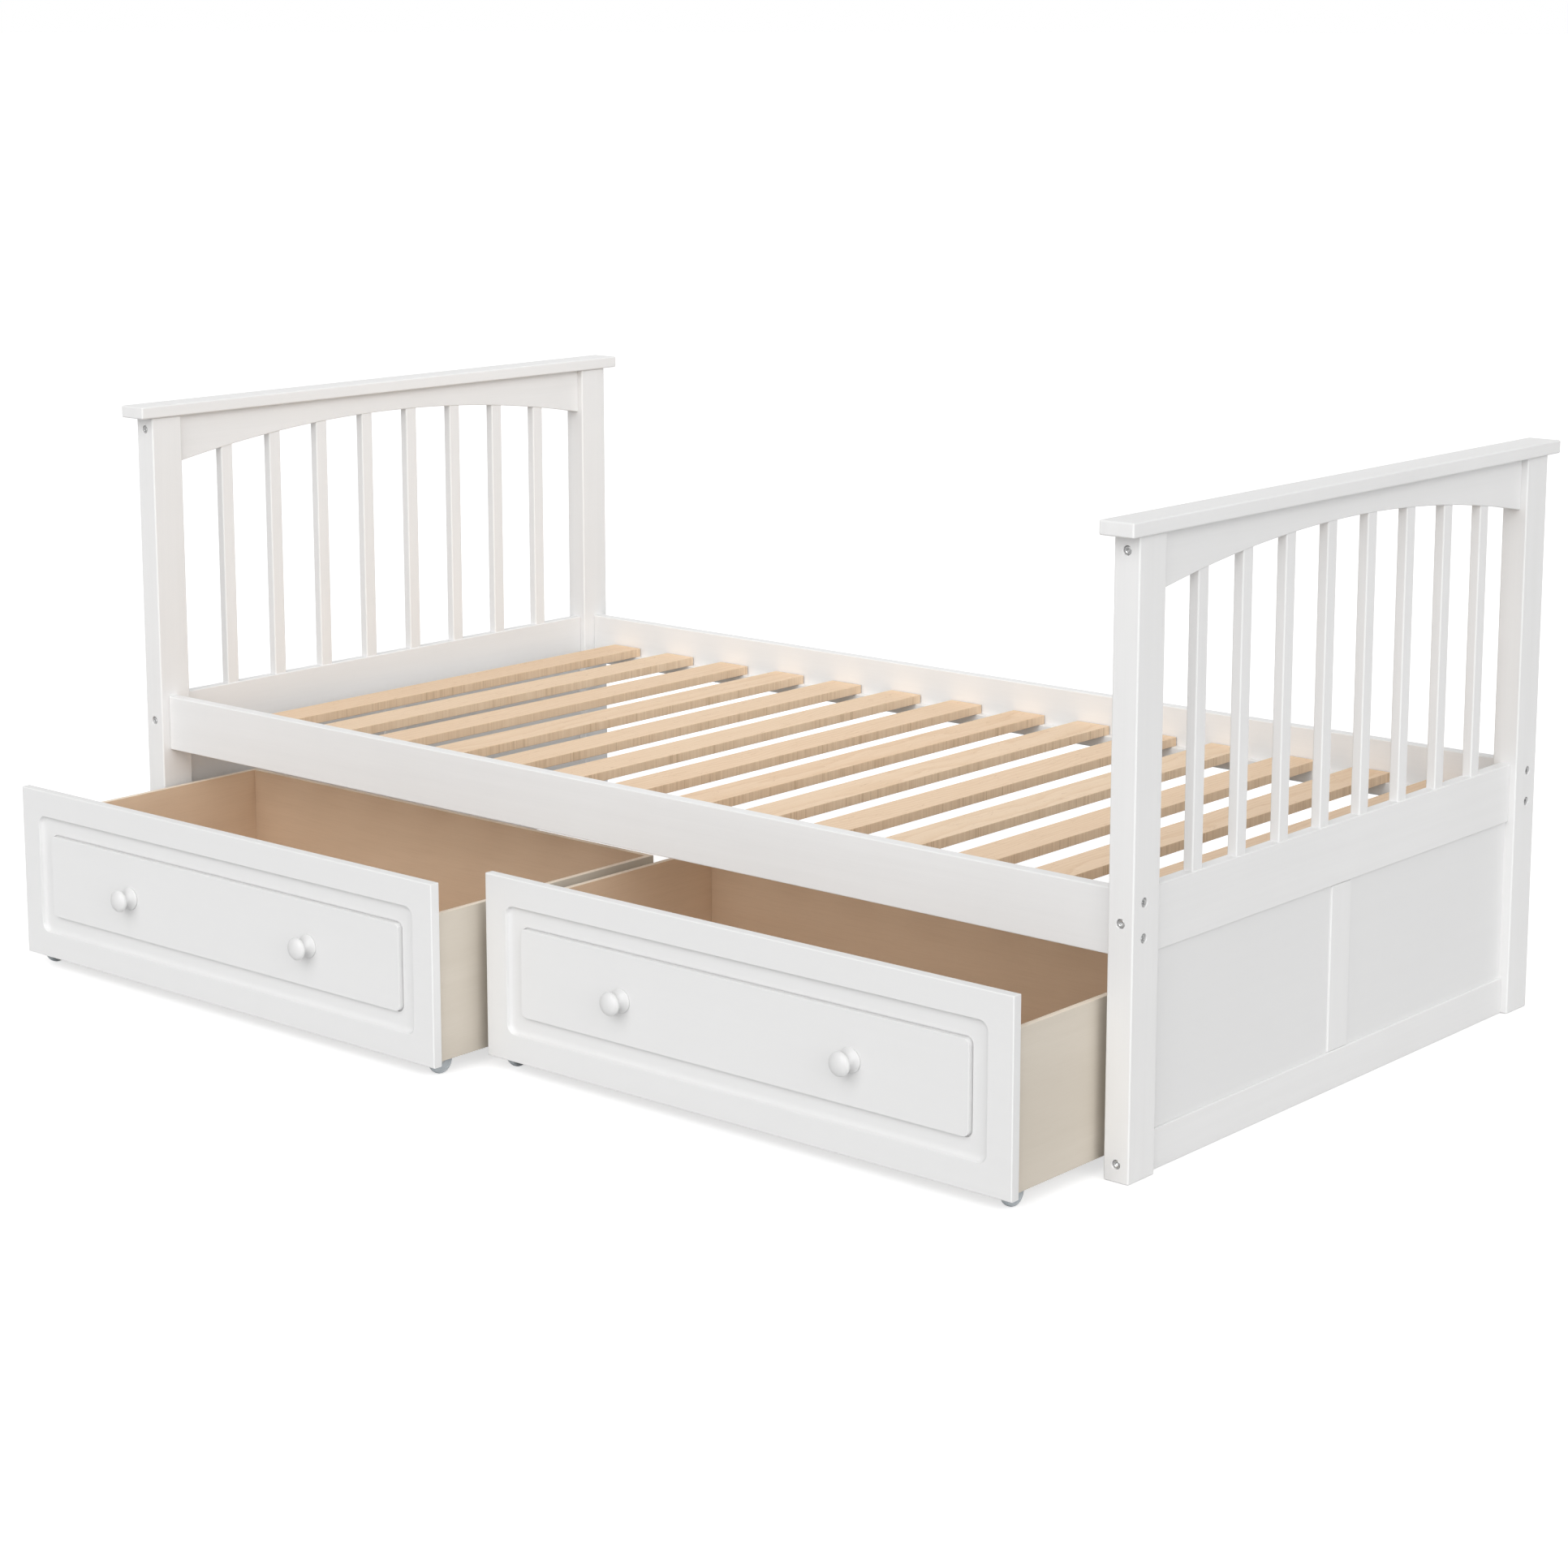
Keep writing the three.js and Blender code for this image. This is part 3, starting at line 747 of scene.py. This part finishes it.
def add_panel(end):
    node = f"{end}_panel"
    low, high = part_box(node)
    middle = (low + high) / 2
    half = PANEL["thick"] / 2
    corners = between((middle.x - half, low.y, low.z - TENON), (middle.x + half, high.y, high.z + TENON))
    # The panel's darker lacquer paints part of the shade of its recess.
    add_bed_board(f"{end}_panel_board", eased_board(*corners, EASE["panel"]), Y, node, lacquer)
    half_thick = PANEL["stile_thick"] / 2
    half_wide = PANEL["stile_wide"] / 2
    corners = between((middle.x - half_thick, middle.y - half_wide, low.z),
                      (middle.x + half_thick, middle.y + half_wide, high.z - PANEL["stile_gap"]))
    add_bed_board(f"{end}_stile", eased_board(*corners, EASE["rail"]), Z, node)


def add_bed_end(end, side_x):
    for place, side_y in (("front", -1), ("rear", 1)):
        add_post(end, side_x, place, side_y)
    for part, ease in (("cap", EASE["cap"]), ("middle_rail", EASE["rail"]), ("bottom_rail", EASE["rail"])):
        node = f"{end}_{part}"
        add_bed_board(f"{node}_board", eased_board(*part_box(node), ease), Y, node)
    add_arch_and_spindles(end)
    add_panel(end)


# ---- side rails and slats ----

def add_side_rail(node, side_y):
    """The rail and, on its inner side, the ledger that the slats lie on."""
    low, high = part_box(node)
    face = high.y if side_y > 0 else low.y
    inside = face - side_y * RAIL_THICK
    ledge = low.y if side_y > 0 else high.y
    corners = between((low.x, min(face, inside), low.z), (high.x, max(face, inside), high.z))
    add_bed_board(f"{node}_board", eased_board(*corners, EASE["rail"]), X, node)
    corners = between((low.x + LEDGER["end_gap"], min(inside, ledge), LEDGER["low"]),
                      (high.x - LEDGER["end_gap"], max(inside, ledge), LEDGER["high"]))
    add_bed_board(f"{node}_ledger", eased_board(*corners, EASE["slat"]), X, node)


def add_slats():
    for node in sorted(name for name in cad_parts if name.startswith("slat_")):
        board = eased_board(*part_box(node), EASE["slat"])
        add_piece(f"{node}_board", board, "bed_frame", [slat_wood], Y, [node])


# ---- drawers ----

def rounded_ring(bm, low, high, inset, corner, y):
    """The vertices of a rounded rectangle in (X, Z), inset from the board's outline, at depth y."""
    ring = []
    x0, x1 = low.x + inset + corner, high.x - inset - corner
    z0, z1 = low.z + inset + corner, high.z - inset - corner
    for number, centre in enumerate(((x1, z1), (x0, z1), (x0, z0), (x1, z0))):
        start = 90 * number
        for x, z in arc(centre, (corner, corner), start, start + 90, CORNER_STEPS):
            ring.append(bm.verts.new((x, y, z)))
    return ring


def edge_sections(thick):
    """The drawer front's outer edge, from its back to its face: (inset, corner, depth)."""
    ease = FRONT["ease"]
    corner = ease + FRONT["board_corner"]
    back = arc((0, 0), (ease, ease), FRONT["ease_from"], 0, steps=3)
    face = arc((0, 0), (ease, ease), 0, 90, steps=4)
    sections = [(ease, ease, thick)]
    sections += [(ease - x, corner - x, thick - ease + z) for x, z in back]
    sections += [(ease - x, corner - x, ease - z) for x, z in face]
    return sections


def groove_sections():
    """The groove from the board's face to the face of the raised field: (inset, corner, depth)."""
    deep = FRONT["deep"]
    lip = FRONT["inset"]
    start = (lip - FRONT["lip"], 0)
    brow = (lip + FRONT["brow"][0], FRONT["brow"][1])
    over_lip = curve(start, (lip + FRONT["lip_pull"][0], FRONT["lip_pull"][1]), brow, steps=3)
    cove = curve(brow, (lip + FRONT["cove_pull"], deep), (lip + FRONT["cove"], deep), steps=6)
    outer = FRONT["corner"] + lip
    sections = [(inset, outer - inset, y) for inset, y in [start] + over_lip]
    sections += [(inset, max(outer - inset, FRONT["least_corner"]), y) for inset, y in cove]
    foot = lip + FRONT["wide"] - FRONT["wall"]
    bottom = deep + FRONT["quirk_deep"]
    crisp = FRONT["crisp"]
    rise = [(foot - FRONT["quirk"], deep), (foot - FRONT["quirk_slope"] * FRONT["quirk"], bottom),
            (foot, bottom), (foot, crisp)]
    rise += curve((foot, crisp), (foot, 0), (foot + crisp, 0), steps=4)
    sections += [(inset, FRONT["field_corner"] + foot - inset, y) for inset, y in rise]
    return sections


def front_mesh(low, high):
    """A board with a coved groove routed round a raised field. Its face is at low.y."""
    bm = bmesh.new()
    sections = edge_sections(high.y - low.y) + groove_sections()
    rings = [rounded_ring(bm, low, high, inset, corner, low.y + depth) for inset, corner, depth in sections]
    count = len(rings[0])
    for outer, inner in zip(rings, rings[1:]):
        for i in range(count):
            j = (i + 1) % count
            bm.faces.new((outer[i], outer[j], inner[j], inner[i]))
    bm.faces.new(rings[0])
    bm.faces.new(rings[-1])
    bmesh.ops.recalc_face_normals(bm, faces=bm.faces)
    return bm


def knob_mesh():
    """A turned knob on z = 0: a flange with a rounded rim, a waist, and a mushroom head."""
    long, flange, rim, neck = KNOB["long"], KNOB["flange"], KNOB["rim"], KNOB["neck"]
    head = arc((0, KNOB["head_at"]), (KNOB["head"], KNOB["head_half"]), KNOB["head_from"], 90, steps=22)
    waist = (neck, KNOB["waist_at"] * long)
    flare = (KNOB["flare"][0] * neck + KNOB["flare"][1] * flange, KNOB["flare_at"] * long)
    profile = [(0, 0)] + arc((flange - rim, rim), (rim, rim), -90, KNOB["rim_to"], steps=6)
    profile += curve(profile[-1], flare, waist, steps=9)
    profile += curve(waist, (neck, KNOB["waist_pull"] * long), head[0], steps=8)
    profile += head[1:-1] + [(0, KNOB["head_at"] + KNOB["head_half"])]
    return lathe(profile, FACETS["knob"])


def wheel_section(radius, half):
    """Half a wheel's section: from its bore over boss, sunk web, rim and shoulder to the tread's crown."""
    boss, rim, crown, bulge = WHEEL["boss"], WHEEL["rim"], WHEEL["crown"], WHEEL["bulge"]
    boss_face = half - WHEEL["boss_back"]
    web_face = half - WHEEL["web_deep"]
    section = [(WHEEL["bore"], boss_face), (boss - WHEEL["boss_round"], boss_face)]
    section += curve(section[-1], (boss, boss_face),
                     (boss + WHEEL["boss_slope"], half - WHEEL["boss_foot"]), steps=3)
    section += [(WHEEL["web"], web_face), (rim - WHEEL["rim_round"], web_face)]
    section += curve(section[-1], (rim, web_face),
                     (rim + WHEEL["rim_slope"], half - WHEEL["rim_back"]), steps=4)
    section += [(radius - WHEEL["shoulder_wide"] * WHEEL["shoulder"], half)]
    edge = (radius - crown, half - WHEEL["shoulder_deep"] * WHEEL["shoulder"])
    section += curve(section[-1], (radius - crown - bulge, half), edge, steps=6)
    section += curve(edge, (radius + bulge, half / 2), (radius, 0), steps=5)
    return section


def wheel_mesh(radius, half):
    """A castor wheel turning about Z."""
    upper = wheel_section(radius, half)
    lower = [(r, -h) for r, h in reversed(upper[:-1])]
    bm = lathe(upper + lower + [upper[0]], FACETS["wheel"])
    bmesh.ops.remove_doubles(bm, verts=bm.verts, dist=WELD)
    bmesh.ops.recalc_face_normals(bm, faces=bm.faces)
    return bm


def plate_outline(half_x, half_y, corner):
    points = []
    for number, (cx, cy) in enumerate(((1, 1), (-1, 1), (-1, -1), (1, -1))):
        centre = (cx * (half_x - corner), cy * (half_y - corner))
        points += arc(centre, (corner, corner), 90 * number, 90 * number + 90, PLATE_STEPS)
    return points


def bracket_mesh(low, high, centre, side, wheel_half):
    """A pressed bracket: a plate under the drawer bottom and a tapering leg on the wheel's inboard side."""
    thick = BRACKET["thick"]
    middle = (low + high) / 2
    top = high.z - thick / 2
    outline = plate_outline((high.x - low.x) / 2, (high.y - low.y) / 2, BRACKET["corner"])
    plate = extruded(outline, -thick / 2, thick / 2, EASE["pressed"])
    carry(plate, Matrix(((0, 1, 0, middle.x), (0, 0, 1, middle.y), (1, 0, 0, top), (0, 0, 0, 1))))
    inner = centre.x - side * (wheel_half + BRACKET["gap"])
    outer = inner - side * thick
    leg_half = BRACKET["leg_half"]
    outline = arc((centre.y, centre.z), (leg_half, leg_half), BRACKET["leg_from"], BRACKET["leg_to"],
                  steps=14)
    outline += [(centre.y + BRACKET["leg_top_half"], top), (centre.y - BRACKET["leg_top_half"], top)]
    leg = extruded(outline, min(inner, outer), max(inner, outer), EASE["pressed"])
    return boolean(plate, leg, "UNION")


def axle_mesh(centre, side, wheel_half):
    """The axle: a pin from the bracket's leg through the wheel, with a rounded end and a riveted head."""
    pin = AXLE["pin"]
    start = -(wheel_half + BRACKET["gap"] + BRACKET["thick"] + AXLE["head_tall"])
    neck = start + AXLE["head_tall"]
    stop = wheel_half + AXLE["stand"]
    profile = [(0, start), (AXLE["head_flat"], start)]
    profile += curve(profile[-1], (AXLE["head_pull"], start), (AXLE["head"], neck), steps=3)
    profile += [(pin, neck), (pin, stop - AXLE["round"])]
    profile += curve(profile[-1], (pin, stop), (AXLE["end_flat"], stop), steps=3)
    profile += [(AXLE["dimple"], stop), (0, stop - AXLE["dimple_deep"])]
    return carry(lathe(profile, FACETS["axle"]), facing(centre, (side, 0, 0)))


def add_castor(drawer, place, side):
    stem = f"{drawer}_{place}"
    wheel_low, wheel_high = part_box(f"{stem}_wheel")
    low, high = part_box(f"{stem}_bracket")
    centre = (wheel_low + wheel_high) / 2
    half = (wheel_high.x - wheel_low.x) / 2
    wheel = carry(wheel_mesh((wheel_high.z - wheel_low.z) / 2, half), facing(centre, (1, 0, 0)))
    add_piece(f"{stem}_castor_wheel", wheel, f"{stem}_wheel", [plastic], X, [f"{stem}_wheel"],
              sharp=SHARP["wheel"])
    bracket = bracket_mesh(low, high, centre, side, half)
    add_metal(f"{stem}_castor_bracket", bracket, drawer, Z, [f"{stem}_bracket"])
    add_metal(f"{stem}_castor_axle", axle_mesh(centre, side, half), drawer, X, [f"{stem}_bracket"])
    across = centre.x - side * (half + BRACKET["screw_across"])
    screws = []
    for sign in (-1, 1):
        at = (across, centre.y + sign * BRACKET["screw_along"], high.z - BRACKET["thick"])
        screws.append(carry(screw_head(), facing(at, (0, 0, -1))))
    add_metal(f"{stem}_castor_screws", merged(screws), drawer, Z)


def by_side(outward):
    """Chooses ply_inside, ply_outside or ply_edge for a face from which way it looks."""
    way = Vector(outward)

    def pick(normal):
        along = normal.dot(way)
        if along > SQUARE_ON:
            return 1
        return 0 if along < -SQUARE_ON else 2

    return pick


def add_drawer_box(drawer):
    """The four plywood boards behind the front, each with the way its outer face looks and its grain."""
    boards = {"left_side": ((-1, 0, 0), Y), "right_side": ((1, 0, 0), Y), "back": ((0, 1, 0), X),
              "bottom": ((0, 0, -1), X)}
    for part, (outward, grain) in boards.items():
        node = f"{drawer}_{part}"
        board = eased_board(*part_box(node), EASE["ply"])
        add_piece(f"{node}_board", board, drawer, [ply_inside, ply_outside, ply_edge], grain,
                  [node], by_side(outward))


def add_knobs(drawer, back_y):
    """Both knobs, and the heads of the screws that hold them from behind, on the front's back at back_y."""
    screws = []
    for place in ("left", "right"):
        node = f"{drawer}_{place}_knob"
        low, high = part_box(node)
        middle = (low + high) / 2
        knob = carry(knob_mesh(), facing((middle.x, high.y, middle.z), (0, -1, 0)))
        add_piece(f"{node}_turned", knob, drawer, [dimmed_knob_lacquer], Y, [node],
                  sharp=SHARP["knob"])
        screws.append(carry(screw_head(), facing((middle.x, back_y, middle.z), (0, 1, 0))))
    add_metal(f"{drawer}_knob_screws", merged(screws), drawer, Y)


def add_drawer(drawer):
    low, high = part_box(f"{drawer}_front")
    add_piece(f"{drawer}_front_board", front_mesh(low, high), drawer, [lacquer], X,
              [f"{drawer}_front"], sharp=SHARP["front"])
    add_drawer_box(drawer)
    add_knobs(drawer, high.y)
    for end in ("front", "rear"):
        for place, side in (("left", -1), ("right", 1)):
            add_castor(drawer, f"{end}_{place}", side)


# ---- floor, light and camera ----

def floor_material():
    """A matt pale floor. It glows to the camera only, so that it meets the backdrop without a line."""
    pale = STUDIO["floor"]
    s = Shader("floor", Base_Color=(pale, pale, pale, 1), Roughness=0.9, Specular_IOR_Level=0.0,
               Emission_Color=(1, 1, 1, 1))
    seen = s.node("ShaderNodeLightPath").outputs["Is Camera Ray"]
    return s.drive(Emission_Strength=s.math("MULTIPLY", seen, STUDIO["glow"]))


def add_floor():
    mesh = bpy.data.meshes.new("floor")
    reach = STUDIO["reach"]
    corners = [(-reach, -reach, 0), (reach, -reach, 0), (reach, reach, 0), (-reach, reach, 0)]
    mesh.from_pydata(corners, [], [(0, 1, 2, 3)])
    mesh.materials.append(floor_material())
    floor = bpy.data.objects.new("floor", mesh)
    floor.location.z = -STUDIO["below"]
    bpy.context.scene.collection.objects.link(floor)


def add_softbox(name, source, spread, strength):
    """A wide, even light from the direction source, spread over that many degrees."""
    light = bpy.data.lights.new(name, "SUN")
    light.angle = math.radians(spread)
    light.energy = strength
    lamp = bpy.data.objects.new(name, light)
    lamp.rotation_euler = Vector(source).to_track_quat("Z", "Y").to_euler()
    bpy.context.scene.collection.objects.link(lamp)


def add_bed_light():
    """A panel light over the slats, turned to the headboard and kept off the footboard."""
    light = bpy.data.lights.new("bed_softbox", "AREA")
    light.size = BED_LIGHT["size"]
    light.energy = BED_LIGHT["energy"]
    lamp = bpy.data.objects.new("bed_softbox", light)
    lamp.location = BED_LIGHT["place"]
    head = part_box("headboard_cap")[0]
    aim = Vector((head.x, 0, head.z)) - lamp.location
    lamp.rotation_euler = aim.to_track_quat("-Z", "Y").to_euler()
    lamp.visible_camera = False
    bpy.context.scene.collection.objects.link(lamp)


def add_world():
    """An even white room. Where the camera looks past the floor it sees a white backdrop instead."""
    world = bpy.data.worlds.new("studio")
    world.use_nodes = True
    tree = world.node_tree
    room = tree.nodes["Background"]
    room.inputs["Strength"].default_value = STUDIO["room"]
    backdrop = tree.nodes.new("ShaderNodeBackground")
    backdrop.inputs["Strength"].default_value = STUDIO["white"]
    for background in (room, backdrop):
        background.inputs["Color"].default_value = (1, 1, 1, 1)
    path = tree.nodes.new("ShaderNodeLightPath")
    either = tree.nodes.new("ShaderNodeMixShader")
    tree.links.new(path.outputs["Is Camera Ray"], either.inputs[0])
    tree.links.new(room.outputs[0], either.inputs[1])
    tree.links.new(backdrop.outputs[0], either.inputs[2])
    tree.links.new(either.outputs[0], tree.nodes["World Output"].inputs["Surface"])
    bpy.context.scene.world = world


def add_camera():
    data = bpy.data.cameras.new("camera")
    data.sensor_width = CAMERA["sensor"]
    data.lens = CAMERA["lens"]
    data.shift_y = CAMERA["shift"]
    data.clip_end = 2 * STUDIO["reach"]
    camera = bpy.data.objects.new("camera", data)
    camera.location = CAMERA["place"]
    camera.rotation_euler = (math.pi / 2 - CAMERA["down"], 0, CAMERA["turn"])
    bpy.context.scene.collection.objects.link(camera)
    bpy.context.scene.camera = camera


add_camera()
add_floor()
add_world()
for softbox, values in SOFTBOXES.items():
    add_softbox(softbox, **values)
add_bed_light()
bpy.context.scene.view_settings.view_transform = "Standard"

add_bed_end("headboard", -1)
add_bed_end("footboard", 1)
add_side_rail("front_side_rail", -1)
add_side_rail("rear_side_rail", 1)
add_slats()
add_drawer("left_drawer")
add_drawer("right_drawer")

bpy.context.view_layer.update()
